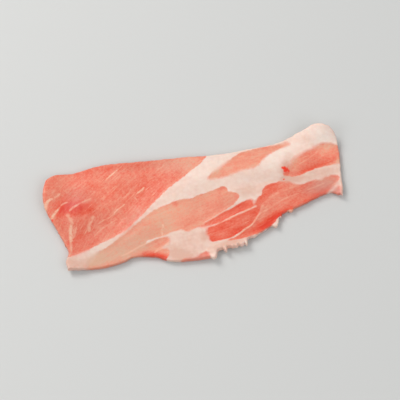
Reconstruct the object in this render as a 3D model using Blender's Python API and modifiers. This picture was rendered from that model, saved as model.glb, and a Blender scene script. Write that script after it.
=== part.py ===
"""One thin raw slice of pork shoulder, lying flat.

The slice is a sheet of meat cut across the shoulder: seven lean muscles parted by
white fat. Its ground plan is stretched between four edges, with a ragged fringe on
the front one. The underside lies on the ground, apart from low swells and lifted
edges, and the meat grows upwards from it by its thickness. The lean has shrunk a
little, so the fat between the muscles stands proud of it.

Frame: metres, +X along the slice, +Y to its even back edge, +Z up, origin on the
ground under the middle of the slice.
"""

import bpy
import numpy as np

MM = 0.001

# Sizes in millimetres
FAT_THICKNESS = 2.9
LEAN_THICKNESS = 2.45
RIM_THICKNESS = 1.5
RIM_WIDTH = 0.7
SEAM_SLOPE = 1.2

# The four edges of the ground plan, in millimetres. They meet at the corners.
FRONT_EDGE = [
    (-70.0, -18.2), (-62.0, -19.5), (-51.0, -20.8), (-42.5, -20.6), (-37.9, -19.5),
    (-31.0, -21.2), (-26.6, -22.8), (-22.5, -25.6), (-12.7, -28.1), (-3.0, -29.6),
    (0.4, -29.4), (2.4, -27.2), (8.3, -27.7), (15.4, -26.9), (17.8, -25.1),
    (25.1, -23.3), (31.6, -22.0), (34.0, -20.4), (36.4, -17.4), (41.3, -16.2),
    (49.1, -14.7), (57.8, -13.2), (62.9, -12.9), (65.7, -14.4), (68.2, -15.7),
]
BACK_EDGE = [
    (-69.9, 28.8), (-66.6, 30.4), (-56.0, 29.8), (-41.0, 30.4), (-24.0, 27.7),
    (-5.0, 24.7), (12.0, 21.2), (29.0, 20.0), (45.0, 19.4), (57.0, 21.2),
    (67.5, 22.3), (71.2, 20.6),
]
LEFT_END = [
    (-70.0, -18.2), (-69.7, -13.0), (-67.8, -9.6), (-68.4, -4.6), (-70.5, 3.6),
    (-73.2, 13.3), (-73.5, 18.5), (-71.8, 25.0), (-69.9, 28.8),
]
RIGHT_END = [
    (68.2, -15.7), (69.8, -11.5), (71.2, -3.0), (73.2, 6.0), (73.8, 13.0),
    (73.0, 18.0), (71.2, 20.6),
]

# Points of torn fat on the front edge: place along X, half width, reach
FRINGE_TEETH = [
    (-17.0, 2.4, 0.6), (-0.3, 1.8, 1.4), (5.0, 1.1, 2.0), (8.0, 1.2, 0.8),
    (12.6, 1.2, 1.3), (16.0, 1.1, 2.0), (33.2, 1.4, 0.9), (37.0, 1.0, 1.5),
    (41.3, 1.2, 1.2), (68.0, 1.5, 0.8),
]

# Lean muscles, as closed outlines in millimetres. Where a muscle reaches the
# slice's edge, its outline runs past it.
LEAN_MUSCLES = {
    "big_left": [
        (-68.5, -11.0), (-57.0, -9.7), (-44.6, -7.0), (-33.8, -2.4), (-22.0, 5.1),
        (-11.3, 11.7), (-1.0, 16.4), (7.5, 20.2), (4.0, 34.0), (-78.0, 38.0),
        (-80.0, -2.0),
    ],
    "pale_centre": [
        (-62.0, -15.5), (-52.0, -11.5), (-40.0, -7.0), (-29.0, -1.0), (-20.5, 2.2),
        (-8.0, 2.8), (3.6, 3.6), (12.0, 4.9), (15.9, 0.7), (18.8, -2.0),
        (11.5, -5.9), (0.7, -9.5), (-1.3, -13.5), (-10.0, -13.2), (-20.0, -12.2),
        (-19.4, -16.0), (-22.0, -19.0), (-23.5, -27.0), (-45.0, -26.0),
        (-62.0, -24.0),
    ],
    "thin_strip": [
        (24.1, -6.3), (13.5, -7.4), (0.4, -10.5), (-0.5, -12.4), (7.5, -11.3),
        (18.6, -9.6), (24.0, -8.4),
    ],
    "red_front": [
        (24.7, -11.2), (14.5, -12.4), (1.8, -14.1), (-1.4, -15.5), (-0.7, -20.0),
        (2.1, -21.4), (11.8, -21.4), (18.3, -18.9), (23.2, -16.0), (26.4, -12.6),
    ],
    "right_front": [
        (25.4, -8.8), (30.0, -4.4), (36.3, -0.2), (42.6, -1.4), (49.0, -4.5),
        (59.0, -4.0), (69.5, -4.0), (66.0, -8.0), (61.0, -11.4), (57.0, -16.0),
        (45.0, -20.0), (33.0, -26.0), (20.0, -27.0), (13.0, -24.0), (22.5, -17.4),
        (27.0, -12.9),
    ],
    "right_back": [
        (43.8, 7.8), (48.3, 9.0), (54.8, 10.7), (61.4, 13.0), (67.1, 15.0),
        (72.0, 10.5), (74.0, 5.0), (68.6, 1.6), (57.8, 2.0), (49.2, 1.0),
        (43.3, 2.5),
    ],
    "back_strip": [
        (6.9, 10.6), (14.7, 16.1), (20.4, 18.5), (29.0, 23.0), (51.0, 23.0),
        (49.5, 17.9), (39.6, 15.7), (29.9, 11.5), (17.1, 10.2),
    ],
}

# Swells under the slice: centre X and Y, half length, half width, height, and the
# turn of the length from X, in degrees
SWELLS = [
    (-50.0, 11.0, 27.0, 14.0, 2.8, 14.0),
    (-14.0, 4.0, 38.0, 8.5, 1.9, 28.0),
    (34.0, 9.0, 36.0, 8.5, 2.4, -3.0),
    (20.0, -12.5, 24.0, 7.0, 1.4, 18.0),
    (-76.0, 20.0, 24.0, 13.0, 3.6, 68.0),
    (-73.0, -22.0, 15.0, 9.0, 2.2, 20.0),
    (-24.0, 32.0, 24.0, 9.0, 2.8, -8.0),
    (8.0, -33.0, 24.0, 10.0, 3.0, 4.0),
    (74.0, 26.0, 27.0, 15.0, 7.0, 24.0),
    (73.0, -13.0, 15.0, 8.0, 2.0, 60.0),
]

# The grid that is stretched over the ground plan
COLUMNS = 80
ROWS = 26
FRINGE_START = 0.46
FRINGE_END = 0.84
FRINGE_SHARE_OF_COLUMNS = 0.5

SLICE_COLOUR = (0.82, 0.33, 0.24, 1.0)
SLICE_ROUGHNESS = 0.4


def clear_scene():
    for thing in list(bpy.data.objects):
        bpy.data.objects.remove(thing, do_unlink=True)


def curve_through(knots, shares):
    """Points of a smooth curve through the knots, at shares 0 to 1 of its length."""
    knots = np.array(knots)
    way = np.append(0.0, np.cumsum(np.hypot(*np.diff(knots, axis=0).T)))
    slopes = np.gradient(knots, way, axis=0)
    along = shares * way[-1]
    first = np.clip(np.searchsorted(way, along, side="right") - 1, 0, len(way) - 2)
    span = (way[first + 1] - way[first])[:, None]
    t = (along - way[first])[:, None] / span
    start_weight = (1 + 2 * t) * (1 - t) ** 2
    start_slope_weight = t * (1 - t) ** 2 * span
    end_slope_weight = t**2 * (t - 1) * span
    return (
        knots[first] * start_weight
        + knots[first + 1] * (1 - start_weight)
        + slopes[first] * start_slope_weight
        + slopes[first + 1] * end_slope_weight
    )


def front_edge(shares):
    """The front edge with its fringe of straight-sided teeth."""
    points = curve_through(FRONT_EDGE, shares)
    for place, half_width, reach in FRINGE_TEETH:
        nearness = 1 - np.abs(points[:, 0] - place) / half_width
        points[:, 1] -= reach * np.clip(nearness, 0, 1)
    return points


def ground_plan(u, v):
    """X and Y in millimetres of grid places u along the slice and v front to back.

    A Coons patch: the sum of the two blends between facing edges, less the blend
    between the four corners.
    """
    front, back = front_edge(u), curve_through(BACK_EDGE, u)
    left, right = curve_through(LEFT_END, v), curve_through(RIGHT_END, v)
    u, v = u[:, None], v[:, None]
    lengthways = front * (1 - v) + back * v
    crossways = left * (1 - u) + right * u
    front_corners = np.array(FRONT_EDGE[0]) * (1 - u) + np.array(FRONT_EDGE[-1]) * u
    back_corners = np.array(BACK_EDGE[0]) * (1 - u) + np.array(BACK_EDGE[-1]) * u
    return lengthways + crossways - front_corners * (1 - v) - back_corners * v


def depth_inside(outline, points):
    """Distance in millimetres from the outline, positive inside it."""
    starts = np.array(outline)
    ends = np.roll(starts, -1, axis=0)
    nearest = np.full(len(points), np.inf)
    inside = np.zeros(len(points), dtype=bool)
    for start, end in zip(starts, ends):
        side = end - start
        share = np.clip((points - start) @ side / (side @ side), 0, 1)
        away = points - start - share[:, None] * side
        nearest = np.minimum(nearest, np.hypot(away[:, 0], away[:, 1]))
        spans = (start[1] > points[:, 1]) != (end[1] > points[:, 1])
        rise = np.where(spans, end[1] - start[1], 1.0)
        crossing = start[0] + (points[:, 1] - start[1]) / rise * side[0]
        inside ^= spans & (points[:, 0] < crossing)
    return np.where(inside, nearest, -nearest)


def smooth_step(value):
    value = np.clip(value, 0, 1)
    return value * value * (3 - 2 * value)


def underside_height(points):
    """Height in millimetres: the sum of the swells, each (1 - r squared) squared."""
    height = np.zeros(len(points))
    for x, y, half_length, half_width, swell, turn in SWELLS:
        along, across = np.cos(np.radians(turn)), np.sin(np.radians(turn))
        lengthways = (points - (x, y)) @ (along, across) / half_length
        crossways = (points - (x, y)) @ (-across, along) / half_width
        r_squared = lengthways**2 + crossways**2
        height += swell * np.clip(1 - r_squared, 0, 1) ** 2
    return height


def thickness(points, on_rim):
    """Thickness in millimetres: thinner in the lean, and thinner again at the rim."""
    lean = np.zeros(len(points))
    for outline in LEAN_MUSCLES.values():
        lean = np.maximum(lean, smooth_step(depth_inside(outline, points) / SEAM_SLOPE))
    body = FAT_THICKNESS + (LEAN_THICKNESS - FAT_THICKNESS) * lean
    return np.where(on_rim, RIM_THICKNESS, body)


def narrow_rim(shares, rim):
    """Moves the rows next to both ends outwards, to a rim of the given share."""
    order = np.sort(np.unique(np.round(shares, 6)))
    moved = order.copy()
    moved[1], moved[-2] = rim, 1 - rim
    return np.interp(shares, order, moved)


def slice_mesh():
    """A flat grid, moved to the ground plan and up over the swells."""
    bpy.ops.mesh.primitive_grid_add(x_subdivisions=COLUMNS, y_subdivisions=ROWS, size=1)
    sheet = bpy.context.object
    count = len(sheet.data.vertices)
    flat = np.empty(count * 3)
    sheet.data.vertices.foreach_get("co", flat)
    u, v = flat.reshape(count, 3)[:, :2].T + 0.5
    on_rim = (np.minimum(u, v) < 1e-4) | (np.maximum(u, v) > 1 - 1e-4)

    # Half of the columns stand on the fringe, so that its teeth come out sharp
    plain_share = (1 - FRINGE_SHARE_OF_COLUMNS) / 2
    fringe_columns = [0, plain_share, 1 - plain_share, 1]
    u = np.interp(u, fringe_columns, [0, FRINGE_START, FRINGE_END, 1])
    length = BACK_EDGE[-1][0] - BACK_EDGE[0][0]
    width = BACK_EDGE[0][1] - FRONT_EDGE[0][1]
    u = narrow_rim(u, RIM_WIDTH / length)
    v = narrow_rim(v, RIM_WIDTH / width)

    plan = ground_plan(u, v)
    height = underside_height(plan)
    placed = np.column_stack([plan, height]) * MM
    sheet.data.vertices.foreach_set("co", placed.ravel())
    sheet.data.update()
    return sheet, thickness(plan, on_rim)


def give_thickness(sheet, thicknesses):
    """Triangulates the sheet, then grows it upwards by the thickness at each vertex."""
    group = sheet.vertex_groups.new(name="thickness")
    for index, share in enumerate(thicknesses / FAT_THICKNESS):
        group.add([index], float(share), "REPLACE")
    sheet.modifiers.new("both faces alike", "TRIANGULATE")
    solidify = sheet.modifiers.new("meat", "SOLIDIFY")
    solidify.thickness = FAT_THICKNESS * MM
    solidify.offset = 1.0
    solidify.vertex_group = group.name
    solidify.use_quality_normals = True


def centre_on_origin(sheet):
    """Moves the sheet so that the box of the whole slice stands over the origin."""
    evaluated = sheet.evaluated_get(bpy.context.evaluated_depsgraph_get())
    corners = np.array([corner[:2] for corner in evaluated.bound_box])
    middle = (corners.min(axis=0) + corners.max(axis=0)) / 2
    for vertex in sheet.data.vertices:
        vertex.co.x -= middle[0]
        vertex.co.y -= middle[1]


def slice_material():
    material = bpy.data.materials.new("raw pork")
    material.use_nodes = True
    shader = material.node_tree.nodes["Principled BSDF"]
    shader.inputs["Base Color"].default_value = SLICE_COLOUR
    shader.inputs["Roughness"].default_value = SLICE_ROUGHNESS
    shader.inputs["Metallic"].default_value = 0.0
    return material


def build():
    clear_scene()
    collection = bpy.data.collections.new("sliced pork shoulder")
    bpy.context.scene.collection.children.link(collection)
    sheet, thicknesses = slice_mesh()
    sheet.name = sheet.data.name = "pork_slice"
    give_thickness(sheet, thicknesses)
    centre_on_origin(sheet)
    sheet.data.materials.append(slice_material())
    sheet.data.shade_smooth()
    for holder in list(sheet.users_collection):
        holder.objects.unlink(sheet)
    collection.objects.link(sheet)


build()
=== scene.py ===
# One thin raw slice of pork shoulder, lying on a pale floor.
# The slice is one closed mesh: two faces over the same ground plan, which meet at
# a rounded rim. Lengths are millimetres, but metres in the studio. Angles are degrees.

import math

import bpy
import numpy as np
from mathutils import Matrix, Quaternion, Vector


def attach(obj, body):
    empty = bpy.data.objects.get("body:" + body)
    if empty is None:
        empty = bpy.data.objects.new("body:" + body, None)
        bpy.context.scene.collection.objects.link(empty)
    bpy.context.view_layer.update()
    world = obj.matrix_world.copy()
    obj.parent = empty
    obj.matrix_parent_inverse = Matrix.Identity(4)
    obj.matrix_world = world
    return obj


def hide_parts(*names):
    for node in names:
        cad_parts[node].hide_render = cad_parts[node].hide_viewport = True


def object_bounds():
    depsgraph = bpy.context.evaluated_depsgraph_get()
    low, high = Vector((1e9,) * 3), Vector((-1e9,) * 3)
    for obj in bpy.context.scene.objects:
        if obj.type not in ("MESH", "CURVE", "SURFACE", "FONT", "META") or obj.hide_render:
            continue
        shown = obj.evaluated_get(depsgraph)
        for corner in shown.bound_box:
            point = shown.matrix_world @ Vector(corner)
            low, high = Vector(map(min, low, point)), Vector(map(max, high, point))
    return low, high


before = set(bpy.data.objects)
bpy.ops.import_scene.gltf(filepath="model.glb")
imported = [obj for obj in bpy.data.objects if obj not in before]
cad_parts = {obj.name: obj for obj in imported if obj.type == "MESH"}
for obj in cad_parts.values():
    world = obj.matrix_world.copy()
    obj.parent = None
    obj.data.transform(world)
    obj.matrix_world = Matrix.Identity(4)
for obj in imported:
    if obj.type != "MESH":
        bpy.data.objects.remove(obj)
cadLow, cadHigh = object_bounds()
millimetre = 0.001


# The slice's form
sliceForm = {
    "fatThickness": 2.65,
    "leanThickness": 2.45,
    "seamSlope": (-0.4, 1.6),   # depths in the lean between which its surface sinks
    "rimRadius": 0.8,       # how far inside the outline the rounding ends
    "rimSquareness": 2.6,   # 2 is a round rim, more is a squarer one
    "rimHeight": 0.42,      # the widest line's share of the thickness
    "unevenness": 0.22,     # how far the cut outline wanders
    "unevenWaves": [(1.9, 0.6), (0.8, 0.4)],    # its wave lengths, and their shares
    "evenEnds": 0.012,      # the share of an edge at each end that doesn't wander
    "tornWindow": 45,       # over how many columns the torn edge is smoothed
    "tornFade": 14,         # how fast the torn front edge fades into the slice
    "endFade": 7,           # how fast the round of the ends does
    "columns": 420,
    "rows": 104,
    "gridLength": 147.0,    # the slice's rough size, to which the rim's steps are scaled
    "gridWidth": 50.0,
    "rimSteps": [0.0, 0.03, 0.1, 0.21, 0.36, 0.56, 0.82, 1.15],
    # even columns, and where they go: closer together along the torn fringe
    "evenColumns": [0, 0.02, 0.35, 0.76, 0.98, 1],
    "movedColumns": [0, 0.02, 0.46, 0.79, 0.98, 1],
    # unevenness of the faces: strength, length in x or along the grain, length in y or
    # across it, seed
    "thicknessNoise": [(0.06, 9, 7, 16)],
    "rimRadiusNoise": [(0.35, 2.5, 2.5, 17)],
    "rimHeightNoise": [(0.12, 3.1, 3.1, 18)],
    "fibreNoise": [(0.6, 9, 1.8, 11), (0.4, 4, 1.0, 12)],
    "lobuleNoise": [(0.6, 2.6, 2.1, 13), (0.4, 1.3, 1.2, 14)],
    "waveNoise": [(0.16, 11, 8, 15)],
    "fibreHeight": 0.075,
    "lobuleHeight": 0.06,
    "threadHeight": 0.08,
    "underShare": 0.4,      # how much of the relief shows on the underside
    "frontEdge": [
        (-70, -18.2), (-62, -19.6), (-52, -20.9), (-46, -20.9), (-42.5, -20.4), (-38.5, -19.5),
        (-35, -20), (-31, -21.3), (-26.6, -22.8), (-24.3, -24.5), (-22.3, -25.7), (-19.5, -26.8),
        (-12.7, -28.1), (-7, -29.2), (-2.6, -29.8), (0.3, -29.4), (1.6, -27.5), (3.4, -27.2),
        (8.3, -27.3), (12.6, -27.5), (15.6, -26.9), (17.2, -25.3), (20.3, -24.8), (25.1, -23.2),
        (30, -21.8), (32.4, -21.9), (33.8, -20.8), (34.7, -18.6), (36.6, -17.2), (40, -16.4),
        (44, -15.8), (50, -14.7), (55.5, -13.4), (60.5, -12.9), (63.4, -13.1), (65.7, -14.5),
        (68.2, -15.7),
    ],
    "backEdge": [
        (-69.9, 28.8), (-66.6, 30.4), (-56, 29.8), (-41, 30.4), (-24, 27.7), (-5, 24.7),
        (12, 21.2), (29, 20), (45, 19.4), (57, 21.2), (67.5, 22.3), (71.2, 20.6),
    ],
    "leftEnd": [
        (-70, -18.2), (-69.7, -13), (-67.8, -9.6), (-68.4, -4.6), (-70.5, 3.6), (-73.2, 13.3),
        (-73.5, 18.5), (-71.8, 25), (-69.9, 28.8),
    ],
    "rightEnd": [
        (68.2, -15.7), (69.8, -11.5), (71.2, -3), (73.2, 6), (73.8, 13), (73, 18), (71.2, 20.6),
    ],
    # torn fat on the front edge: place along X, half width, reach
    "fringeTeeth": [
        (-1, 1.6, 1), (5.1, 0.9, 2.2), (8.9, 0.9, 0.7), (10.5, 0.9, 0.9), (13.3, 1.2, 0.9),
        (15.5, 0.8, 1.5), (20.4, 1.2, 0.3), (31.8, 1.4, 0.7), (35.6, 0.7, 0.9), (41.4, 1.4, 1),
        (66.2, 0.9, 0.4), (68.1, 0.7, 0.6),
    ],
    # swells under the slice: centre, half length, half width, height, turn
    "swells": [
        (-50, 11, 33, 17, 2.8, 14), (-14, 4, 49, 16, 1.4, 28), (34, 9, 44, 10.4, 2.4, -3),
        (20, -12.5, 32, 12.2, 1, 18), (-76, 20, 29, 18.3, 3.2, 68), (-73, -22, 18.3, 11, 2.2, 20),
        (-24, 32, 29, 11, 2.8, -8), (8, -33, 29, 12.2, 3, 4), (74, 26, 33, 18.3, 7, 24),
        (73, -13, 18.3, 9.8, 2, 60),
    ],
}

# Lean muscles. Each has its redness from 0 (beige) to 1 (deep red), the grain's
# direction, how much fine fat runs through it, and a closed outline, which runs past the
# slice's edge where the muscle reaches it.
# patches are redder (+) and paler (-) places: centre, half length, half width, change,
# turn. A patch also changes the next muscle where it reaches over the seam.
# threads are lines of fat: half width, strength, points along the thread.
leanMuscles = {
    "bigLeft": {
        "redness": 0.50, "grain": 30.0, "marbling": 1.0,
        "outline": [
            (-68.5, -11.2), (-65, -11.3), (-62, -11), (-54, -9), (-46, -7.4), (-43, -6.6),
            (-39.7, -6), (-34.8, -3.4), (-28.6, 0.1), (-24.6, 2.8), (-19.5, 6.1), (-13.1, 9.9),
            (-5.6, 13.4), (0.4, 16.4), (6.3, 19.2), (10, 24), (4, 34), (-30, 38), (-78, 38),
            (-80, 10), (-76, -9),
        ],
        "patches": [
            (-58, 11.4, 15, 5, 0.4, -14),  # the reddest hollow
            # the first patch here is painted shade: redder and darker where the swell's sheen
            # falls
            (-61, 14.2, 10, 6.5, 0.3, 0), (-33, 14, 7, 4.5, 0.1, 30),
            (-66.5, 11.5, 7, 4.2, 0.16, 20), (-62, -3, 5.6, 7, 0.14, 80),
            (-66, 23.5, 9, 6, -0.1, 10), (-44, 27, 14, 6, 0.08, -3), (-32, 22.5, 12, 6, -0.11, 0),
            (-45.5, 6, 9.8, 6, -0.07, 20), (-21.5, 13.5, 13, 7, 0.12, 30),
            (-2.5, 20.8, 22.4, 7.9, -0.31, -16),  # the pale end at the back edge
            (-40, -1.5, 15.4, 5.6, -0.08, 26), (-69.5, 0, 4.2, 16.8, -0.1, 0),
        ],
        "threads": [
            (1.0, 0.95, [(-73.3, 14.2), (-72.8, 16.4), (-71.9, 18.3), (-70.4, 19.5),
                (-68.4, 20)]),
            (0.6, 0.6, [(-68.2, 20.1), (-66.6, 20.5), (-64.6, 21.4)]),
            (0.85, 0.95, [(-72, 9.4), (-70.3, 11.3), (-68.6, 12.7), (-66.8, 13.9)]),
            (0.5, 0.55, [(-67.2, 13.7), (-65.4, 15), (-63.6, 15.6), (-61.2, 15.7)]),
            (0.6, 0.55, [(-62.9, 9.4), (-61.4, 11.3), (-59.2, 12.5), (-56.6, 13.3)]),
            (0.45, 0.4, [(-57.2, 13.2), (-53.6, 14), (-50.2, 14.6)]),
            (1.1, 0.52, [(-63.5, 10.4), (-62.3, 7.6), (-61.6, 4.8)]),
            (1.05, 0.9, [(-62.4, 5), (-63.6, 2), (-64.3, -0.6), (-65.2, -4.2)]),
            (0.6, 0.48, [(-64.7, -2), (-65.3, -4.6), (-65.6, -6.4), (-66.1, -8.8)]),
            (0.7, 0.5, [(-60.4, 3.4), (-62, 0.4), (-63.8, -2.6)]),
            (1.1, 0.5, [(-50.9, 6.6), (-53, 4.8), (-54.6, 2.2), (-55.6, -0.8)]),
            (0.45, 0.85, [(-41, 22.1), (-39.2, 23.4), (-37.2, 24.6), (-35.2, 26), (-33.6, 27)]),
            (0.6, 0.75, [(-29.2, 11.7), (-27, 12.5), (-25.2, 13.2), (-24.2, 14.2)]),
            (0.45, 0.75, [(-42, 5.2), (-40.4, 6.3), (-38.4, 7.3), (-35.6, 8.4)]),
            (0.45, 0.45, [(-50.6, 2), (-47.6, 3.2), (-44.4, 3.9), (-41.6, 5)]),
            (0.5, 0.4, [(-35.6, 11.3), (-33.6, 12.4), (-32, 13.4), (-30.9, 15.2)]),
            (0.5, 0.4, [(-30.2, 10.2), (-29.2, 8.4)]),
            (0.5, 0.35, [(-54, -4.2), (-51, -2), (-47.6, -0.4), (-44, 1), (-41, 2)]),
            (0.7, 0.5, [(-42.1, 15.6), (-41.5, 16.1)]),
            (0.8, 0.35, [(-73, 24.9), (-70.4, 24)]),
            (0.6, 0.3, [(-48.6, 16.9), (-47.4, 17.6)]),
            (0.45, 0.32, [(-57.6, 21.6), (-55, 22.2), (-52.5, 23.4)]),
            (0.4, 0.3, [(-16, 21), (-13.4, 22), (-10.4, 23.4)]),
            (0.4, 0.3, [(-22, 16.6), (-19.6, 17.6), (-17.6, 18.2)]),
        ],
    },
    "paleCentre": {
        "redness": 0.26, "grain": 9.0, "marbling": 0.35,
        "outline": [
            (-59.5, -15.2), (-53.9, -12.4), (-47.8, -10.6), (-41.7, -7.7), (-37.6, -6),
            (-33.6, -3.9), (-28.6, -1.6), (-23.7, 0.8), (-19.9, 1.9), (-15, 2.7), (-12, 3.4),
            (-8, 3.5), (-4, 2.8), (0, 3.5), (7, 4.1), (11, 4.9), (13.8, 5), (14.7, 3),
            (14.7, 1.4), (17.5, 0.1), (19.2, -1.9), (18.4, -4.1), (14.4, -6.6), (7.3, -8.9),
            (0.2, -10.9), (-1, -12.9), (-5, -12.5), (-8, -13.2), (-10.6, -13.3), (-12.4, -11.9),
            (-18, -11.8), (-21.5, -12.6), (-26, -12.6), (-31, -14.2), (-29, -26), (-45, -26),
            (-60, -25), (-61.5, -18),
        ],
        "patches": [
            (-46, -15.5, 33.6, 11.2, -0.2, 8), (-57, -15.6, 9.8, 5.6, -0.2, 4),
            (-20, -3.5, 19.6, 9.4, -0.15, 20), (-10, -8, 12, 4, 0.07, 10),
            (6, -6.5, 16, 5, 0.08, 12), (-4, -10.5, 11, 3.8, 0.05, -8),
            (13.2, 4.2, 3.9, 2.5, 0.18, 0),  # the small red corner
            (18.2, -2.4, 2.5, 3.4, 0.12, 0), (-12, 2.2, 2.2, 1.8, 0.22, 0),
            (-51, -20.8, 21, 3.4, 0.24, -4),
        ],
        "threads": [
            (0.6, 0.7, [(-22.2, -12.6), (-21.9, -10.4), (-21, -8.4), (-20.4, -6.2)]),
            (0.55, 0.6, [(-44, -17.2), (-40, -16.4), (-35, -14.9), (-30, -13.8)]),
        ],
    },
    "frontWedge": {
        "redness": 0.32, "grain": 14.0, "marbling": 0.4,
        "outline": [
            (-31.5, -14.6), (-26, -13.2), (-20.6, -13.2), (-19.2, -15), (-20.2, -16.8),
            (-23.5, -18.2), (-21.4, -19.6), (-21.2, -21.6), (-23.4, -24.4), (-26, -28),
            (-36, -26), (-38, -18),
        ],
        "patches": [
            # its red front is partly its own, and deepened further as painted shade where the
            # front edge turns down
            (-27.2, -22.4, 12.6, 3.7, 0.82, -25),  # its red front
        ],
        "threads": [
            (0.5, 0.62, [(-30.6, -14.1), (-28.2, -13.6), (-26, -12.5), (-23.2, -12.8),
                (-20.2, -13)]),
            (0.8, 0.55, [(-28.4, -19.6), (-25.4, -18.6), (-22.4, -18), (-20, -16.6)]),
        ],
    },
    "thinStrip": {
        "redness": 0.67, "grain": 14.0, "marbling": 0.6,
        "outline": [
            (-0.8, -11.1), (3.6, -10.3), (7.5, -9.2), (14.1, -7.8), (18.5, -6.6), (21.4, -5.8),
            (23.4, -5.5), (24.6, -6.2), (24.9, -7.6), (24.4, -10), (16, -11.2), (10, -12.5),
            (4, -13.5), (-2, -13.4), (-5, -12),
        ],
        "patches": [
            (0.6, -11.6, 7, 2.2, -0.12, 12), (18, -7.8, 12.6, 3.4, 0.08, 14),
        ],
        "threads": [
            (0.45, 0.5, [(-0.8, -11), (3, -10.2), (6.9, -9), (10.2, -8.1), (14.1, -7.1),
                (16.6, -6.2)]),
            (0.45, 0.24, [(-2.4, -13.5), (2, -13.8), (6, -13.5), (9.6, -12.9)]),
        ],
    },
    "redFront": {
        "redness": 0.71, "grain": 10.0, "marbling": 0.9,
        "outline": [
            (0.4, -13.9), (4, -13.8), (10, -12.6), (16, -11.3), (21, -10.5), (26, -9.8),
            (27.6, -11.4), (25.6, -14.3), (22.8, -17), (19.2, -18.7), (14.8, -20), (10.4, -21.6),
            (6, -21.9), (2.8, -21.8), (0.2, -21.5), (-0.9, -19.9), (-0.8, -18.2), (-1.4, -17),
            (-0.8, -15.3),
        ],
        "patches": [
            (13, -19.2, 5.6, 3.1, 0.22, 10), (15.5, -14.8, 8, 3.8, -0.12, 12),
            (4, -18.6, 5.6, 3.4, -0.12, 0), (24, -11.8, 5.6, 2.8, 0.12, 10),
        ],
        "threads": [
            (0.5, 0.66, [(7.6, -13.1), (11, -12.4), (16, -11.3), (21, -10.5), (26.2, -9.4)]),
            (0.52, 0.72, [(9.4, -22.4), (12.6, -21.5), (15.3, -20), (17.3, -18.9),
                (19.5, -18.3), (22, -16.9)]),
        ],
    },
    "rightFront": {
        "redness": 0.52, "grain": 16.0, "marbling": 0.8,
        "outline": [
            (25, -8), (27.3, -6.2), (29.9, -4.6), (30.9, -2.6), (32.6, -1.1), (35, -0.2),
            (38, -0.4), (40.2, 0), (43.8, -1.2), (46.3, -2.5), (48, -3.7), (51, -4.4), (56, -3.9),
            (60, -4.5), (63, -3.7), (67, -3.8), (69.6, -5), (69.2, -7.2), (66, -9.4),
            (62.6, -11.2), (60.4, -12.4), (57, -18), (45, -20), (38, -18.6), (34.6, -17.8),
            (31.4, -20.3), (28, -21.7), (23, -23.2), (17, -24.2), (11, -24.1), (7.5, -23.2),
            (11.5, -22.1), (14.8, -20.1), (19.1, -18.6), (22.6, -16.8), (25.1, -14.1),
            (26.6, -11.4), (25.4, -9.8),
        ],
        "patches": [
            (31.5, -18.3, 14.5, 3.9, 0.72, 18),  # deep red along the front edge
            (17, -22.2, 11.2, 2.8, 0.1, 12), (34.4, -2.2, 7.7, 4.8, 0.21, -10),
            (30, -6.6, 8.4, 3.1, 0.12, 32), (36, -10.8, 19.6, 5.6, -0.1, 12),
            (44, -3.2, 6, 3, -0.08, -20), (48.5, -7.4, 5.6, 3.8, 0.13, 10),
            (60.5, -10.2, 4.6, 2.4, 0.15, 10), (62, -6.6, 11.6, 5.2, -0.22, 4),
            (57, -12.2, 12.6, 2.5, 0.26, 14), (44, -14.8, 14, 2.8, 0.05, 14),
        ],
        "threads": [
            (0.5, 0.56, [(20.7, -17.8), (22.6, -16.3), (24.3, -14.7), (26.8, -13),
                (30.6, -12.5)]),
            (0.8, 0.35, [(26.6, -12.4), (29, -9.6), (33, -7.4), (38, -5.8), (43, -4.9),
                (49, -4.3)]),
            (0.5, 0.3, [(28, -13.6), (34, -11), (41, -9.2), (48, -8.6)]),
            (0.4, 0.3, [(52, -8), (57, -7.4), (62, -6.6)]),
            (0.9, 0.9, [(39.4, -15.8), (41.6, -16.6), (43.8, -15.6)]),
        ],
    },
    "rightBack": {
        "redness": 0.38, "grain": 6.0, "marbling": 0.7,
        "outline": [
            (43.9, 5.4), (45.8, 6.6), (47.8, 7.6), (49.9, 9.5), (54.4, 10.8), (58.4, 12.3),
            (61.5, 13.2), (64, 14.3), (66.5, 15.2), (69, 14.7), (71.4, 13.4), (73.6, 11.6),
            (76, 7.6), (74, 1.7), (69, 1.4), (62, 1.8), (57, 1.4), (51, 0.5), (47, 1),
            (44.6, 2.3), (43, 3.6),
        ],
        "patches": [
            (61, 3.9, 20, 3.8, 0.2, 6),  # a red band along its front
            # the second patch here is paler as painted light, on the turned-up corner's slope
            # that lies in shade
            (58, 2.5, 15, 2.2, 0.2, 7), (66.8, 11.8, 10, 5, -0.26, 14),
            (72.6, 2.6, 4.6, 2.8, -0.36, 20), (50, 7.6, 5, 3.4, -0.12, 30),
            (61.5, 9.4, 7, 3.2, 0.16, 20), (44.8, 4.2, 3.6, 2.6, 0.3, 0),
        ],
        "threads": [
            (0.45, 0.3, [(52, 6.6), (58, 8.2), (63, 10.6)]),
        ],
    },
    "backStrip": {
        "redness": 0.30, "grain": 4.0, "marbling": 0.4,
        "outline": [
            (7, 10.4), (8.8, 12.2), (12.3, 13.6), (15.8, 14.7), (18.9, 16), (22.7, 17.9),
            (27, 19.3), (36, 19.4), (44, 18.9), (50.5, 18.9), (51, 17.1), (46.4, 16),
            (42.5, 14.9), (37.8, 13.3), (34.2, 11.4), (30.6, 10.2), (24, 10.3), (18, 9.5),
            (11, 9.6),
        ],
        "patches": [
            (40, 16.6, 9, 3, -0.05, 8), (11, 12.2, 6, 3, -0.14, 34),
        ],
        "threads": [],
    },
    "frontSliver": {
        "redness": 0.46, "grain": -8.0, "marbling": 0.9,
        "outline": [
            (-17, -27.2), (-15, -26.4), (-12, -26.9), (-8.6, -27), (-5.6, -26), (-3.6, -26.2),
            (-2.2, -27.6), (-2.8, -29.4), (-5, -31), (-16, -31),
        ],
        "patches": [
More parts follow.
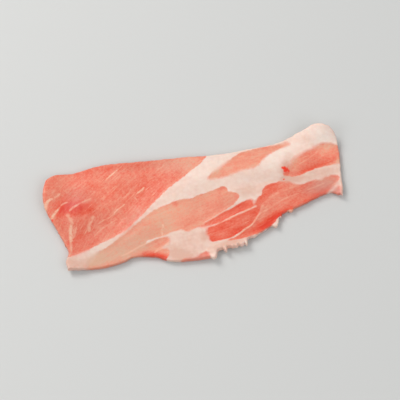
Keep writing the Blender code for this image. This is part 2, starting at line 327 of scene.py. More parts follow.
            (-8, -28, 8.4, 2.8, 0.1, -8),
        ],
        "threads": [],
    },
    "frontCorner": {
        # its redness is partly its own red, partly painted shade, for the corner lies in shade
        "redness": 0.54, "grain": 70.0, "marbling": 0.3,
        "outline": [
            (64.4, -11.6), (66.4, -10.9), (68.6, -10.2), (68.9, -12.4), (67.8, -14.6),
            (66, -14.4), (64.2, -13.4), (62.4, -12.6),
        ],
        "patches": [],
        "threads": [],
    },
}

# The slice's other marks. Like the muscles, they are placed as seen on a flat slice.
sliceMarks = {
    # the places hold at this height, and shift so much for each millimetre above it
    "flatHeight": 1.5,
    "shift": (0.135, 0.362),
    "toneBlend": 0.5,       # how softly one muscle's tone passes into the next
    "grainStep": 7.0,       # sets the grain's noise of one muscle apart from the next
    "threadEnds": 0.5,      # the taper at which a thread's ends reach full strength
    "threadReach": (1.9, 1.2),  # a thread is gone this far aside, and whole within this
    "threadFloor": 0.05,    # added to a thread's strength before its distance is divided by it
    "seamBlur": 0.36,       # how softly the lean passes into the fat
    "blush": 0.42,          # the fat's tone
    # whiter (-) and pinker (+) places in the fat, partly painted shade: centre, half length, half
    # width, change, turn
    "fatBlushAndShadePatches": [
        (8, 17, 25.2, 7, -0.16, 18), (-12, 7.5, 22.4, 5.6, 0.1, 28),
        (44, 12.6, 19.6, 8, -0.24, 4), (68, 19, 11.2, 7, -0.3, -50),
        (30, 5.5, 12.6, 4.6, 0.08, 6), (45, 6, 5.4, 4.8, 0.6, 20), (25, -1, 12.6, 5.6, 0.42, -10),
        (-10, -19, 16.8, 12.6, 0.34, 0), (8, -25, 18.2, 4.8, 0.6, 8),
        (58, -1, 25.2, 4.8, 0.44, 0), (-66, -16.5, 12.6, 5.6, 0.5, 6), (67, -9, 7, 5.6, 0.42, 40),
        # the patches at (-19.6, -22) and (-14, -25.6) are painted shade, darker where the front
        # edge turns down
        (54, 11.5, 7, 4.2, 0.2, 30), (-19.6, -22, 12, 6.4, 0.38, -26),
        (-14, -25.6, 11, 4.4, 0.34, -12), (-68.4, -13, 5, 3.6, 0.4, 0),
        (44, 0.9, 4.2, 2.8, 0.9, 0), (47, 9.6, 6, 3.2, 0.45, 40), (-34, -2, 22, 6, 0.28, 27),
        (8, -9, 13, 3, 0.5, 16), (-2.5, -17.5, 3.5, 5, 0.32, 0), (42, 0.5, 14, 4, 0.22, 0),
        (48.5, -1, 7, 3, 0.2, -10), (26, 9.5, 14, 2.5, 0.14, 4),
        (-36.8, -4.4, 5.4, 2.4, 0.35, 28),
    ],
    # dusky, see-through places in the lean, in the same form; the one at the front-right corner
    # (66.2, -12.8) is painted shade
    "duskyAndShadedPatches": [
        (61, -7.8, 15.4, 6.2, 0.85, 4), (66.2, -12.8, 5.6, 4.2, 0.95, 0),
        (-6, 21, 16.8, 5.6, 0.25, -14), (-9, -28.4, 12.6, 4.2, 0.85, 0),
        (-44, -14, 22.4, 8.4, 0.15, 8),
    ],
    # where the seam is blurred further, in the same form
    "blurredSeams": [
        (-60, -15, 11.2, 6.3, 3, 0), (-62, -18, 7, 4.2, 1.4, 0), (-20, -15.5, 4.2, 4.9, 0.7, 0),
        (-1.6, -17.5, 3.5, 5.6, 1.1, 0), (-0.6, -12.7, 7, 2.8, 0.9, 6),
        (22, -12, 12.6, 8.4, 0.3, 12), (8, 10.5, 4.2, 2.8, 0.5, 0),
        (64.5, -9.5, 8.4, 4.2, 1.1, 0), (61, -4.4, 14, 3, 0.6, 0), (66.5, 14.6, 9, 3.4, 0.9, 0),
        (50, 18, 5, 3, 1, 0), (15, 14.8, 9.5, 4, 1.1, 34), (66.4, -12.6, 4.9, 3.6, 0.7, 0),
        (46.5, 6.5, 6.6, 5, 1.3, 30), (56, 11.5, 12.6, 3.8, 1.5, 22),
        (-39, -5.7, 6.4, 2.6, 0.9, 25), (70.5, 2, 5, 2.6, 0.8, 0), (71, 8, 4.2, 8.4, 0.5, 0),
        (20, 13, 16.8, 4.2, 0.4, 20), (20, 10, 19.6, 2, 0.5, 0), (36, 13.6, 11.2, 2.8, 0.6, 20),
        (45, 17, 11.2, 2.8, 0.7, 0), (44, -2, 8, 3, 0.8, -25), (-23, -18.5, 7, 4.2, 0.8, 0),
        (-9, -26.8, 12.6, 2.8, 0.5, 0), (24.6, -7, 2.8, 4.2, 0.8, 0),
        (-12, -12.5, 11.2, 2.8, 0.3, 0),
    ],
    # where the grain swings aside, by how many millimetres, in the same form
    "grainBends": [
        (-77, -13, 36.4, 36.4, 8, 0), (34, -4, 19.6, 14, -1.8, 0),
    ],
    # painted light (+) and painted shade (-) in fat and lean, in the same form: broad lighter and
    # darker places that stand in for how the light falls
    "paintedLightAndShadePatches": [
        (-63, -4, 24, 34, -0.1, 0), (-57, 16.5, 13, 9, -0.14, -10), (-38, -14, 30, 12, -0.09, 16),
        (-33, -0.5, 10, 6, -0.08, 30), (-40, 10, 15, 9, 0.06, 20), (-16, -3, 16, 8, 0.06, 14),
        (17, -4.5, 14, 7, -0.1, 14), (52, -6, 18, 8, -0.07, 0), (67, 10.5, 11, 8, 0.14, 14),
    ],
    # blood: centre, radius, strength
    "bloodSpots": [
        (43.6, 7.1, 1, 0.8), (44.5, 6.4, 1.7, 1), (45.1, 5.7, 2, 1), (44.4, 5.4, 1.2, 0.9),
        (46.2, 4.8, 1.2, 0.9), (42.7, 0.6, 0.9, 0.85), (-71.2, 9.2, 1.5, 0.7),
        (-66.6, 7, 1.2, 0.4), (25, -8.6, 1, 0.5), (46, 8.4, 1.2, 0.22), (48.6, 8.9, 1.2, 0.3),
        (23.8, 1.2, 0.9, 0.25), (6.6, 10.3, 0.9, 0.3), (-5.4, -6.4, 0.9, 0.4),
        (12.4, -19.2, 1.5, 0.5),
    ],
}


# A smooth curve through knots: on each span a cubic (Hermite) blend of the two knots
# and of their slopes, at shares from 0 to 1 of the knots' length.
def throughKnots(knots, shares):
    knots = np.asarray(knots, dtype=float)
    way = np.append(0.0, np.cumsum(np.hypot(*np.diff(knots, axis=0).T)))
    slopes = np.gradient(knots, way, axis=0)
    along = shares * way[-1]
    first = np.clip(np.searchsorted(way, along, side="right") - 1, 0, len(way) - 2)
    span = (way[first + 1] - way[first])[:, None]
    t = (along - way[first])[:, None] / span
    startWeight = (1 + 2 * t) * (1 - t) ** 2
    bend = slopes[first] * t * (1 - t) ** 2 * span + slopes[first + 1] * t**2 * (t - 1) * span
    return knots[first] * startWeight + knots[first + 1] * (1 - startWeight) + bend


# A closed smooth curve (Catmull-Rom): each span leaves a knot along the line between
# the knots on its two sides. The first point comes again at the end.
def closedCurve(knots, steps=5):
    middle = np.asarray(knots, dtype=float)
    before, after, beyond = (np.roll(middle, turn, axis=0) for turn in (1, -1, -2))
    t = (np.arange(steps) / steps)[None, :, None]
    before, middle, after, beyond = (k[:, None, :] for k in (before, middle, after, beyond))
    curve = middle + t / 2 * (
        after - before
        + t * (2 * before - 5 * middle + 4 * after - beyond)
        + t**2 * (3 * (middle - after) + beyond - before)
    )
    curve = curve.reshape(-1, 2)
    return np.vstack([curve, curve[:1]])


# For each point, how far the nearest place on a line of points is (positive on the
# line's left), and that place's share of the line
def nearLine(line, points):
    nearest = np.full(len(points), np.inf)
    place, side = np.zeros(len(points)), np.ones(len(points))
    for number, (start, end) in enumerate(zip(line[:-1], line[1:])):
        way = end - start
        share = np.clip((points - start) @ way / max(way @ way, 1e-9), 0, 1)
        away = points - start - share[:, None] * way
        distance = away[:, 0] ** 2 + away[:, 1] ** 2
        nearer = distance < nearest
        place = np.where(nearer, number + share, place)
        side = np.where(nearer, np.sign(way[0] * away[:, 1] - way[1] * away[:, 0]), side)
        nearest = np.minimum(nearest, distance)
    return side * np.sqrt(nearest), place / (len(line) - 1)


# Whether points lie inside a closed line: each span that a point sees on its right
# turns its answer over
def insideLine(line, points):
    inside = np.zeros(len(points), dtype=bool)
    for start, end in zip(line[:-1], line[1:]):
        spans = (start[1] > points[:, 1]) != (end[1] > points[:, 1])
        rise = np.where(spans, end[1] - start[1], 1.0)
        crossing = start[0] + (points[:, 1] - start[1]) / rise * (end[0] - start[0])
        inside ^= spans & (points[:, 0] < crossing)
    return inside


# 0 below low, 1 above high, and 3 t squared - 2 t cubed between them
def smoothStep(value, low=0.0, high=1.0):
    value = np.clip((value - low) / (high - low), 0, 1)
    return value * value * (3 - 2 * value)


# A bump (1 - r squared) to a power inside an ellipse, and nothing outside it
def ellipseBump(points, x, y, halfLength, halfWidth, turn, power=2):
    along = np.array((math.cos(math.radians(turn)), math.sin(math.radians(turn))))
    across = np.array((-along[1], along[0]))
    lengthways = (points - (x, y)) @ along / halfLength
    crossways = (points - (x, y)) @ across / halfWidth
    return np.clip(1 - lengthways**2 - crossways**2, 0, 1) ** power


# The sum of bumps: each has its centre, half length, half width, height and turn
def bumpSum(points, bumps, power=2):
    total = np.zeros(len(points))
    for x, y, halfLength, halfWidth, height, turn in bumps:
        total += height * ellipseBump(points, x, y, halfLength, halfWidth, turn, power)
    return total


# Soft noise from -1 to 1: random values on a square lattice, which is turned by a
# different angle for each seed, blended with smooth steps. The lattice repeats.
def softNoise(x, y, seed, cells=256):
    lattice = np.random.default_rng(seed).uniform(-1, 1, (cells, cells))
    x, y = math.cos(seed) * x - math.sin(seed) * y, math.sin(seed) * x + math.cos(seed) * y
    column, row = np.floor(x).astype(int), np.floor(y).astype(int)
    across, up = smoothStep(x - column), smoothStep(y - row)
    left, right = column % cells, (column + 1) % cells
    low, high = row % cells, (row + 1) % cells
    bottom = lattice[left, low] * (1 - across) + lattice[right, low] * across
    top = lattice[left, high] * (1 - across) + lattice[right, high] * across
    return bottom * (1 - up) + top * up


# The sum of soft noises: each has its strength, its lengths in x and y, and its seed
def noiseSum(x, y, noises, shift=0.0):
    total = 0.0
    for strength, xLength, yLength, seed in noises:
        total = total + strength * softNoise(x / xLength + shift, y / yLength, seed)
    return total


# A long edge at shares of its extent in X, so that the columns run straight across
def longEdge(knots, shares, samples=3000):
    curve = throughKnots(knots, np.linspace(0, 1, samples))
    x = curve[0, 0] + (curve[-1, 0] - curve[0, 0]) * shares
    return np.column_stack([x, np.interp(x, curve[:, 0], curve[:, 1])])


# The front edge with its torn teeth: each is a bump (1 - r squared) to the power 0.6
def tornEdge(shares):
    points = longEdge(sliceForm["frontEdge"], shares)
    for place, halfWidth, reach in sliceForm["fringeTeeth"]:
        tooth = np.clip(1 - ((points[:, 0] - place) / halfWidth) ** 2, 0, 1) ** 0.6
        points[:, 1] -= reach * tooth
    return points


# An uneven cut: the edge's points shift to and fro along one axis, but not its ends
def uneven(points, axis, shares, seed):
    along = points[:, 1 - axis]
    shift, even = 0.0, sliceForm["evenEnds"]
    for number, (length, share) in enumerate(sliceForm["unevenWaves"]):
        shift = shift + share * softNoise(along / length, 0 * along, seed + number)
    ends = smoothStep(shares, 0, even) * (1 - smoothStep(shares, 1 - even, 1))
    points[:, axis] += sliceForm["unevenness"] * ends * shift
    return points


# Grid places to ground plan. Straight columns join the smoothed front edge to the back
# edge. What the torn edge stands off from the smoothed one fades out within a few rows,
# and what each end stands off from its outer column fades more slowly.
def groundPlan(u, v):
    front = uneven(tornEdge(u), 1, u, 3)
    back = uneven(longEdge(sliceForm["backEdge"], u), 1, u, 5)
    left = uneven(throughKnots(sliceForm["leftEnd"], v), 0, v, 7)
    right = uneven(throughKnots(sliceForm["rightEnd"], v), 0, v, 9)
    window = np.hanning(sliceForm["tornWindow"])
    padded = np.pad(front[:, 1], len(window) // 2, mode="reflect", reflect_type="odd")
    smoothed = np.convolve(padded, window / window.sum(), "valid")
    calm = np.column_stack([front[:, 0], smoothed])
    u, v = u[:, None, None], v[None, :, None]
    front, calm, back = front[:, None, :], calm[:, None, :], back[:, None, :]
    plan = calm * (1 - v) + back * v + (front - calm) * (1 - v) ** sliceForm["tornFade"]
    fade = sliceForm["endFade"]
    return plan + (left - plan[0]) * (1 - u) ** fade + (right - plan[-1]) * u**fade


# Shares from 0 to 1 of a length, close together at both ends to divide the rim finely
def rimmedShares(count, length):
    edge = np.array(sliceForm["rimSteps"]) / length
    middle = np.linspace(edge[-1], 1 - edge[-1], count + 3 - 2 * len(edge))
    return np.concatenate([edge[:-1], middle, 1 - edge[-2::-1]])


class SliceSheet:  # the slice's grid, with everything that its look needs at each point
    def __init__(self):
        u = rimmedShares(sliceForm["columns"], sliceForm["gridLength"])
        u = np.interp(u, sliceForm["evenColumns"], sliceForm["movedColumns"])
        v = rimmedShares(sliceForm["rows"], sliceForm["gridWidth"])
        self.shape = (len(u), len(v))
        plan = groundPlan(u, v)
        self.points = plan.reshape(-1, 2)
        self.rimDistance = self.distanceToRim(plan)
        self.base = bumpSum(self.points, sliceForm["swells"], 3)
        raised = self.base + sliceForm["fatThickness"] - sliceMarks["flatHeight"]
        self.marks = self.points + raised[:, None] * sliceMarks["shift"]

    # Distance to the outline. Only a band of outer rows and columns is measured. The
    # others get one distance, which is further in than the rim's looks reach.
    def distanceToRim(self, plan, band=14, farIn=5.0):
        outline = np.concatenate([plan[:, 0], plan[-1, 1:], plan[-2::-1, -1], plan[0, -2::-1]])
        nearRim = np.ones(self.shape, dtype=bool)
        nearRim[band:-band, band:-band] = False
        distance = np.full(self.shape, farIn)
        distance[nearRim] = np.abs(nearLine(outline, plan[nearRim])[0])
        distance[0] = distance[-1] = distance[:, 0] = distance[:, -1] = 0
        return distance.ravel()

    # How deep each point is in the lean, the muscle's redness and marbling there, and the
    # grain's own coordinates: along the fibres, across them, and a place for each muscle
    def lean(self):
        deepest = np.full(len(self.marks), -np.inf)
        tone, share = np.zeros((len(self.marks), 2)), np.zeros((len(self.marks), 1))
        grain = np.zeros((len(self.marks), 3))
        bend = bumpSum(self.marks, sliceMarks["grainBends"])
        for number, muscle in enumerate(leanMuscles.values()):
            outline = closedCurve(muscle["outline"])
            depth = np.abs(nearLine(outline, self.marks)[0])
            depth = np.where(insideLine(outline, self.marks), depth, -depth)
            turn = math.radians(muscle["grain"])
            along = self.marks @ (math.cos(turn), math.sin(turn))
            across = self.marks @ (-math.sin(turn), math.cos(turn)) + bend
            apart = np.full(len(along), sliceMarks["grainStep"] * number)
            own = np.column_stack([along, across, apart])
            # past these depths a muscle's weight stays the same
            weight = np.exp(np.clip(depth, -25, 5) / sliceMarks["toneBlend"])[:, None]
            tone += weight * (muscle["redness"], muscle["marbling"])
            share += weight
            grain = np.where((depth > deepest)[:, None], own, grain)
            deepest = np.maximum(depth, deepest)
        redness, marbling = (tone / share).T
        for muscle in leanMuscles.values():
            redness = redness + bumpSum(self.marks, muscle["patches"])
        return deepest, redness, marbling, grain

    # The fat thread that counts most at a point, the one with the least distance over its
    # strength: how far aside it is in half widths (5 at most), and its strength, which
    # fades out towards its ends and well before the next thread
    def threads(self):
        nearest = np.full(len(self.marks), np.inf)
        aside, strongest = np.zeros(len(self.marks)), np.zeros(len(self.marks))
        for muscle in leanMuscles.values():
            for halfWidth, strength, knots in muscle["threads"]:
                line = throughKnots(knots, np.linspace(0, 1, 5 * len(knots)))
                distance, place = nearLine(line, self.marks)
                taper = np.sqrt(np.clip(4 * place * (1 - place), 0, 1))
                shown = smoothStep(taper, 0, sliceMarks["threadEnds"])
                shown = shown * smoothStep(np.abs(distance), *sliceMarks["threadReach"])
                reach = np.abs(distance) / (sliceMarks["threadFloor"] + strength * shown)
                nearer = reach < nearest
                width = halfWidth * (0.5 + 0.5 * taper)  # half as wide at its ends
                aside = np.where(nearer, distance / width, aside)
                strongest = np.where(nearer, strength * shown, strongest)
                nearest = np.minimum(nearest, reach)
        return np.clip(aside, -5, 5), strongest

    # Everything that the material reads, by the name of its attribute
    def attributes(self):
        leanDepth, redness, marbling, grain = self.lean()
        threadSide, threadStrength = self.threads()
        blood = np.zeros(len(self.marks))
        for x, y, radius, strength in sliceMarks["bloodSpots"]:
            blood = np.maximum(blood, strength * ellipseBump(self.marks, x, y, radius, radius, 0))
        return {
            "leanDepth": leanDepth,
            "seamBlur": sliceMarks["seamBlur"] + bumpSum(self.marks, sliceMarks["blurredSeams"]),
            "redness": redness,
            "marbling": marbling,
            "threadSide": threadSide,
            "threadStrength": threadStrength,
            # the fat's blush, with painted shade along the front edge
            "blush": sliceMarks["blush"] + bumpSum(self.marks, sliceMarks["fatBlushAndShadePatches"]),
            # dusky lean, with painted shade at the front-right corner
            "dusk": bumpSum(self.marks, sliceMarks["duskyAndShadedPatches"]),
            # painted light and shade, as a factor on the colour
            "bright": 1 + bumpSum(self.marks, sliceMarks["paintedLightAndShadePatches"]),
            "blood": blood,
            "rimDistance": self.rimDistance,
            "grain": grain,
        }

    # Both faces in millimetres. The sheet lies over the swells; each face stands off it
    # along the sheet's normal, and at the rim they meet on a rounded line, a superellipse
    # of the distance from the rim.
    def faces(self, looks):
        form = sliceForm
        x, y = self.points.T
        sheet = np.column_stack([self.points, self.base]).reshape(*self.shape, 3)
        normal = np.cross(np.gradient(sheet, axis=0), np.gradient(sheet, axis=1))
        normal /= np.linalg.norm(normal, axis=2, keepdims=True)

        inLean = smoothStep(looks["leanDepth"], *form["seamSlope"])
        thinner = form["leanThickness"] - form["fatThickness"]
        thickness = form["fatThickness"] + thinner * inLean
        thickness *= 1 + noiseSum(x, y, form["thicknessNoise"])
        rimRadius = form["rimRadius"] * (1 + noiseSum(x, y, form["rimRadiusNoise"]))
        rimHeight = form["rimHeight"] + noiseSum(x, y, form["rimHeightNoise"])
        inward = np.clip(self.rimDistance / rimRadius, 0, 1)
        rounding = (1 - (1 - inward) ** form["rimSquareness"]) ** (1 / form["rimSquareness"])

        along, across, muscle = looks["grain"].T
        fibres = noiseSum(along, across, form["fibreNoise"], muscle)
        lobules = noiseSum(x, y, form["lobuleNoise"])
        relief = form["fibreHeight"] * fibres * inLean + form["lobuleHeight"] * lobules
        relief += noiseSum(x, y, form["waveNoise"])
        ridge = looks["threadStrength"] * np.exp(-looks["threadSide"] ** 2)
        relief += form["threadHeight"] * ridge * inLean

        top = thickness * (rimHeight + (1 - rimHeight) * rounding) + relief * rounding
        under = thickness * rimHeight * (1 - rounding)
        under += np.clip(relief, 0, 1) * form["underShare"] * rounding
        top, under = top.reshape(*self.shape, 1), under.reshape(*self.shape, 1)
        return sheet + normal * top, sheet + normal * under


# One closed mesh: the upper grid, then the lower grid's inner points. The lower face
# shares the upper one's outer points, and its squares turn the other way.
def sheetMesh(name, upper, lower, looks):
    columns, rows = upper.shape[:2]
    upperIds = np.arange(columns * rows).reshape(columns, rows)
    lowerIds = upperIds.copy()
    inner = (columns - 2) * (rows - 2)
    lowerIds[1:-1, 1:-1] = columns * rows + np.arange(inner).reshape(columns - 2, rows - 2)

    # The four corners of each square of a grid of point numbers
    def squares(ids):
        corners = [ids[:-1, :-1], ids[1:, :-1], ids[1:, 1:], ids[:-1, 1:]]
        return np.stack(corners, axis=-1).reshape(-1, 4)

    corners = np.concatenate([squares(upperIds), squares(lowerIds)[:, ::-1]]).astype(np.int32)
    places = np.concatenate([upper.reshape(-1, 3), lower[1:-1, 1:-1].reshape(-1, 3)])
    places = places * millimetre
    mesh = bpy.data.meshes.new(name)
    mesh.vertices.add(len(places))
    mesh.vertices.foreach_set("co", places.astype(np.float32).ravel())
    mesh.loops.add(corners.size)
    mesh.loops.foreach_set("vertex_index", corners.ravel())
    mesh.polygons.add(len(corners))
    mesh.polygons.foreach_set("loop_start", np.arange(0, corners.size, 4, dtype=np.int32))
    mesh.update(calc_edges=True)
    mesh.validate()
    mesh.shade_smooth()
    for title, value in looks.items():
        value = value.reshape(columns, rows, -1)
        width = value.shape[2]
        value = np.concatenate([value.reshape(-1, width), value[1:-1, 1:-1].reshape(-1, width)])
        kind, field = ("FLOAT_VECTOR", "vector") if width == 3 else ("FLOAT", "value")
        attribute = mesh.attributes.new(title, kind, "POINT")
        attribute.data.foreach_set(field, value.astype(np.float32).ravel())
    return mesh


class Wire:  # a node's output socket, with operators that add Math nodes
    def __init__(self, tree, socket=None):
        self.tree = tree
        self.socket = socket

    # Any node: its type, its settings, then its inputs by name or number, as values or wires
    def node(self, kind, settings=None, inputs=None, output=0):
        made = self.tree.nodes.new(kind)
        for name, value in (settings or {}).items():
            if name == "stops":
                while len(made.color_ramp.elements) < len(value):
                    made.color_ramp.elements.new(0.5)
                for stop, (position, colour) in zip(made.color_ramp.elements, value):
                    stop.position = position
                    stop.color = colour
            else:
                setattr(made, name, value)
        for name, value in (inputs or {}).items():
            if isinstance(value, Wire):
                self.tree.links.new(value.socket, made.inputs[name])
            else:
                made.inputs[name].default_value = value
        return Wire(self.tree, made.outputs[output])

    # One step of arithmetic on two values or wires
    def math(self, operation, first, second):
        return self.node("ShaderNodeMath", {"operation": operation}, {0: first, 1: second})

    def __add__(self, other):
        return self.math("ADD", self, other)

    def __sub__(self, other):
        return self.math("SUBTRACT", self, other)

    def __mul__(self, other):
        return self.math("MULTIPLY", self, other)

    def __radd__(self, other):
        return self.math("ADD", other, self)

    def __rsub__(self, other):
        return self.math("SUBTRACT", other, self)

    def __rmul__(self, other):
        return self.math("MULTIPLY", other, self)

    # 0 below low, 1 above high, and smooth between
    def step(self, low, high):
        return self.node(
            "ShaderNodeMapRange", {"interpolation_type": "SMOOTHSTEP"},
            {"Value": self, "From Min": low, "From Max": high},
        )

    # One of the look's noises, from about -0.5 to 0.5, over this place wire
    def noise(self, title):
        stretch, detail, roughness = porkLook["noises"][title]
        return self.node(
            "ShaderNodeTexNoise", None,
            {"Vector": self.stretched(stretch), "Scale": 1.0, "Detail": detail,
             "Roughness": roughness},
        ) - 0.5

    # This place wire, multiplied along its three axes
    def stretched(self, scale):
        return self.node("ShaderNodeVectorMath", {"operation": "MULTIPLY"}, {0: self, 1: scale})

    # The same value in red, green and blue
    def grey(self):
        return self.node("ShaderNodeCombineColor", None, {0: self, 1: self, 2: self})

    # A colour ramp over this wire
    def ramp(self, stops):
        stops = [(position, screenColour(*colour)) for position, colour in stops]
        return self.node("ShaderNodeValToRGB", {"stops": stops}, {"Fac": self})

    # This colour with another one over it
    def under(self, share, other, kind="MIX"):
        return self.node(
            "ShaderNodeMix", {"data_type": "RGBA", "blend_type": kind, "clamp_factor": True},
            {"Factor": share, 6: self, 7: other}, 2,
        )


# sRGB numbers from 0 to 255, as they look on screen, to the linear colour of a shader
def screenColour(red, green, blue):
    shares = np.array((red, green, blue)) / 255
    linear = np.where(shares <= 0.04045, shares / 12.92, ((shares + 0.055) / 1.055) ** 2.4)
    return (*linear, 1.0)


porkLook = {
    "leanStops": [  # redness, colour
        (0.00, (229, 180, 152)),
        (0.25, (238, 159, 133)),
        (0.50, (236, 129, 105)),
        (0.75, (234, 101, 75)),
        (1.00, (228, 66, 42)),
    ],
    "fatStops": [  # blush, colour
        (0.0, (246, 228, 217)),
        (0.5, (235, 206, 192)),
        (1.0, (222, 178, 160)),
    ],
    # cells for each millimetre along the three axes of the place or of the grain, then
    # detail and roughness
    "noises": {
        "wander": ((0.55, 0.55, 0.55), 3.0, 0.55),
        "fray": ((0.6, 2.4, 1.0), 3.0, 0.6),
        "broad": ((0.09, 0.75, 1.0), 2.0, 0.5),
        "fine": ((0.24, 2.4, 1.0), 3.0, 0.6),
        "hair": ((0.6, 6.5, 1.0), 2.0, 0.6),
        "grit": ((1.05, 1.05, 1.05), 3.0, 0.65),
        "cloud": ((0.16, 0.16, 0.16), 3.0, 0.5),
        "mottle": ((0.45, 0.45, 0.45), 4.0, 0.6),
        "streaks": ((0.17, 1.35, 1.0), 2.0, 0.5),
        "strands": ((0.10, 0.60, 0.45), 3.0, 0.6),
        "moisture": ((0.12, 0.12, 0.12), 2.0, 0.5),
    },
    "lobules": {"Scale": 0.55, "Smoothness": 0.6, "Randomness": 1.0},
    # how much each noise counts: in the lean's tone, the fat's tone, the gloss, the relief
    "inLean": {"fine": 0.32, "grit": 0.68, "broad": 0.30, "cloud": 0.36, "mottle": 0.40},
    "inFat": {"mottle": 0.45, "strands": 0.30, "lobules": 0.22},
    "inGloss": {"fine": 0.12, "mottle": 0.14},
    "inRelief": {"fine": 0.5, "hair": 0.3, "mottle": 0.5, "lobules": 0.35},
    # where a noise or a distance begins to count, and where it counts in full
    "ranges": {
        "lightFibres": (-0.20, 0.20),
        "streaks": (0.06, 0.30),
        "streakGaps": (-0.15, 0.10),
        "threadSides": (0.15, 1.35),
        "threadGaps": (-0.25, 0.02),
        "bloodEdge": (0.15, 0.75),
        "wetPlaces": (-0.12, 0.12),
    },
    "seamWander": 1.1,          # how far the lean's edge wanders
    "texture": (0.6, 0.55),     # of fibres and grit: everywhere, and more with marbling
    "fibreShade": (0.935, 0.07),    # the dark fibres' brightness, and what light ones add
    "streakStrength": 0.75,
    "threadFray": 1.5,      # how unevenly the grit ends a thread's sides
    "bloodFray": 1.6,
    "wetness": (0.12, 0.05),    # of the wet places, and more in the lean
    "threadColour": (244, 196, 168),
    "duskAndShadeColour": (206, 142, 130),
    "duskAndShadeStrength": 0.7,
    "bloodColour": (242, 60, 32),
    # the rim's darker colour: partly the cut face's own tone, partly painted shade
    "rimToneAndShadeColour": (206, 120, 96),
    "rimWidth": 0.9,
    "rimToneAndShadeStrength": (0.10, 0.24),    # everywhere, and more in the lean
    "leanRoughness": 0.36,
    "fatRoughness": 0.44,
    "bumpHeight": 0.00028,      # metres
    "bumpStrength": 0.7,
    "shader": {
        "Subsurface Weight": 0.22,
        "Subsurface Radius": (1.0, 0.38, 0.25),
        "Subsurface Scale": 0.0016,     # metres
        "Coat Roughness": 0.22,
        "IOR": 1.4,
        "Specular IOR Level": 0.42,
    },
}


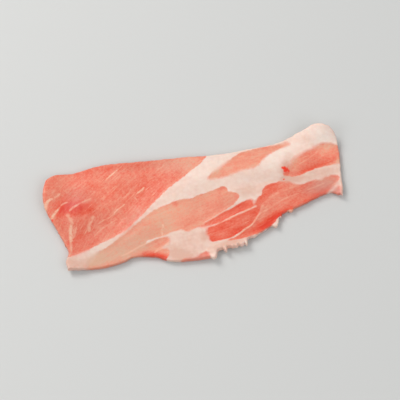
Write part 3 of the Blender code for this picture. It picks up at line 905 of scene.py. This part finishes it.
# Lean over fat, each with its own tone, gloss and relief, then blood and the cut rim
def porkMaterial():
    look, inLean, inFat = porkLook, porkLook["inLean"], porkLook["inFat"]
    inGloss, inRelief, ranges = look["inGloss"], look["inRelief"], look["ranges"]
    material = bpy.data.materials.new("rawPork")
    material.use_nodes = True
    tree = material.node_tree
    start = Wire(tree)

    # One of the slice's attributes
    def stored(title, output="Fac"):
        return start.node("ShaderNodeAttribute", {"attribute_name": title}, None, output)

    leanDepth, seamBlur = stored("leanDepth"), stored("seamBlur")
    rimDistance = stored("rimDistance")
    redness, marbling, dusk = stored("redness"), stored("marbling"), stored("dusk")
    threadSide, threadStrength = stored("threadSide"), stored("threadStrength")
    blush, blood, bright = stored("blush"), stored("blood"), stored("bright")
    grain = stored("grain", "Vector")
    place = start.node("ShaderNodeTexCoord", None, None, "Object")
    place = place.stretched((1 / millimetre,) * 3)

    # Edges of the lean wander a little, at two sizes
    wander, fray = place.noise("wander"), grain.noise("fray")
    isLean = (leanDepth + wander * look["seamWander"] + fray).step(-1 * seamBlur, seamBlur)

    # Fibres: long streaks along the grain at three widths, the finest of which shade the
    # colour. Fine grit, soft mottling and broad clouds lie over them.
    broad, fine, hair = grain.noise("broad"), grain.noise("fine"), grain.noise("hair")
    grit, cloud, mottle = place.noise("grit"), place.noise("cloud"), place.noise("mottle")
    texture = fine * inLean["fine"] + grit * inLean["grit"]
    plain, more = look["texture"]
    leanTone = redness + texture * (marbling * more + plain) + broad * inLean["broad"]
    leanTone = leanTone + cloud * inLean["cloud"] + mottle * marbling * inLean["mottle"]
    dark, lighter = look["fibreShade"]
    shade = hair.step(*ranges["lightFibres"]) * lighter + dark
    lean = leanTone.ramp(look["leanStops"]).under(1.0, shade.grey(), "MULTIPLY")
    # dusky places, with painted shade at the front-right corner, drawn over the lean
    lean = lean.under(dusk * look["duskAndShadeStrength"], screenColour(*look["duskAndShadeColour"]))

    # Fine marbling: pale streaks that lie along the grain, and the fat threads, which
    # come and go
    streaks = grain.noise("streaks").step(*ranges["streaks"])
    streaks = streaks * grit.step(*ranges["streakGaps"]) * marbling * look["streakStrength"]
    besideThread = start.math("ABSOLUTE", threadSide + grit * look["threadFray"], 0.0)
    threads = (1 - besideThread.step(*ranges["threadSides"])) * threadStrength
    threads = threads * wander.step(*ranges["threadGaps"])
    paleness = start.math("MAXIMUM", streaks, threads)
    lean = lean.under(paleness, screenColour(*look["threadColour"]))

    # Fat: mottled in small lobules, with faint strands and a pink blush, which near the front
    # edge also carries painted shade
    strands = place.noise("strands")
    lobule = start.node(
        "ShaderNodeTexVoronoi", {"feature": "SMOOTH_F1"},
        {"Vector": place, **look["lobules"]}, "Distance",
    ) - 0.5
    fatTone = blush + mottle * inFat["mottle"] + strands * inFat["strands"]
    fat = (fatTone + lobule * inFat["lobules"]).ramp(look["fatStops"])
    # the painted light and shade multiply the whole colour
    colour = fat.under(isLean, lean).under(1.0, bright.grey(), "MULTIPLY")

    # Blood, with an uneven edge
    bleeding = (blood + blood * grit * look["bloodFray"]).step(*ranges["bloodEdge"])
    colour = colour.under(bleeding, screenColour(*look["bloodColour"]))

    # The cut rim is a little darker, in the lean most of all: partly the cut face's own moist
    # tone, partly painted shade where the rim rounds down
    always, moreInLean = look["rimToneAndShadeStrength"]
    rim = 1 - rimDistance.step(0.0, look["rimWidth"])
    rim = rim * (isLean * moreInLean + always)
    colour = colour.under(rim, screenColour(*look["rimToneAndShadeColour"]))

    # Gloss: the lean is smoother than the fat, and both are wet in places
    roughness = look["fatRoughness"] + (look["leanRoughness"] - look["fatRoughness"]) * isLean
    roughness = roughness + fine * inGloss["fine"] + mottle * inGloss["mottle"]
    wetPlace, wetLean = look["wetness"]
    wet = place.noise("moisture").step(*ranges["wetPlaces"]) * wetPlace + isLean * wetLean

    # Relief: fibres in the lean, lobules in the fat
    fibrous = isLean * (1 - paleness)
    height = fine * fibrous * inRelief["fine"] + hair * fibrous * inRelief["hair"]
    lumps = mottle * inRelief["mottle"] + lobule * inRelief["lobules"]
    height = height + lumps * (1 - isLean)
    normal = start.node(
        "ShaderNodeBump", None,
        {"Strength": look["bumpStrength"], "Distance": look["bumpHeight"], "Height": height},
        "Normal",
    )
    shader = tree.nodes["Principled BSDF"]
    varying = {
        "Base Color": colour, "Roughness": roughness, "Coat Weight": wet, "Normal": normal,
    }
    for title, wire in varying.items():
        tree.links.new(wire.socket, shader.inputs[title])
    for title, value in look["shader"].items():
        shader.inputs[title].default_value = value
    return material


# The slice as one object: its looks at each point, its faces and its material
def porkSlice():
    sheet = SliceSheet()
    looks = sheet.attributes()
    print("pork slice: muscles, threads and patches placed")
    mesh = sheetMesh("porkSlice", *sheet.faces(looks), looks)
    mesh.materials.append(porkMaterial())
    piece = bpy.data.objects.new("porkSlice", mesh)
    bpy.context.scene.collection.objects.link(piece)
    print("pork slice: mesh with", len(mesh.polygons), "squares")
    return piece


# Floor, light and camera. Lengths here are metres.
studio = {
    "floorSize": 16.0,
    "floorDrop": 0.0002,        # how far it lies under the slice
    "floorColour": (206, 207, 206),
    "floorRoughness": 0.7,
    "worldStrength": 0.45,
    "cameraAzimuth": -20.5,
    "cameraElevation": 68.9,
    "cameraRoll": 5.06,
    "cameraDistance": 0.6327,
    "fieldOfView": 17.4,
    "aimHeight": 0.003,
    # lamps: name, place, size, watts, colour
    "lamps": [
        ("backSoftbox", (-0.45, 0.75, 0.85), 0.6, 8.6, (1.0, 0.985, 0.96)),
        ("leftSoftbox", (-0.9, -0.2, 0.8), 0.7, 3.0, (1.0, 0.99, 0.98)),
        ("frontFill", (0.6, -0.8, 0.9), 0.9, 3.6, (0.98, 0.99, 1.0)),
    ],
}


# Puts a lamp or a camera in the scene, turned to look at a target
def placed(name, data, place, target):
    made = bpy.data.objects.new(name, data)
    made.location = place
    made.rotation_mode = "QUATERNION"
    made.rotation_quaternion = (Vector(target) - Vector(place)).to_track_quat("-Z", "Y")
    bpy.context.scene.collection.objects.link(made)
    return made


# One wide pale square
def studioFloor():
    half, drop = studio["floorSize"] / 2, studio["floorDrop"]
    corners = [(x * half, y * half, -drop) for x, y in ((-1, -1), (1, -1), (1, 1), (-1, 1))]
    mesh = bpy.data.meshes.new("floor")
    mesh.from_pydata(corners, [], [(0, 1, 2, 3)])
    floor = bpy.data.objects.new("floor", mesh)
    bpy.context.scene.collection.objects.link(floor)
    material = bpy.data.materials.new("paleFloor")
    material.use_nodes = True
    shader = material.node_tree.nodes["Principled BSDF"]
    shader.inputs["Base Color"].default_value = screenColour(*studio["floorColour"])
    shader.inputs["Roughness"].default_value = studio["floorRoughness"]
    mesh.materials.append(material)


# Soft square lamps that point at the slice, and an even white surround
def studioLights():
    for name, place, size, watts, colour in studio["lamps"]:
        light = bpy.data.lights.new(name, "AREA")
        light.energy, light.size, light.color = watts, size, colour
        placed(name, light, place, (0, 0, 0))
    world = bpy.data.worlds.new("studio")
    world.use_nodes = True
    background = world.node_tree.nodes["Background"]
    background.inputs["Color"].default_value = (1.0, 1.0, 1.0, 1.0)
    background.inputs["Strength"].default_value = studio["worldStrength"]
    bpy.context.scene.world = world


# The camera looks down at the slice's middle from its azimuth and elevation, rolled a little
def studioCamera():
    azimuth = math.radians(studio["cameraAzimuth"])
    elevation = math.radians(studio["cameraElevation"])
    target = (cadLow + cadHigh) / 2
    target.z = studio["aimHeight"]
    back = Vector((
        math.sin(azimuth) * math.cos(elevation),
        -math.cos(azimuth) * math.cos(elevation),
        math.sin(elevation),
    ))
    lens = bpy.data.cameras.new("camera")
    lens.angle = math.radians(studio["fieldOfView"])
    camera = placed("camera", lens, target + back * studio["cameraDistance"], target)
    roll = Quaternion((0, 0, 1), math.radians(studio["cameraRoll"]))
    camera.rotation_quaternion = camera.rotation_quaternion @ roll
    bpy.context.scene.camera = camera


bpy.context.scene.view_settings.view_transform = "Standard"
studioFloor()
studioLights()
studioCamera()
print("studio ready")

pork = porkSlice()
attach(pork, "root")
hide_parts("pork_slice")
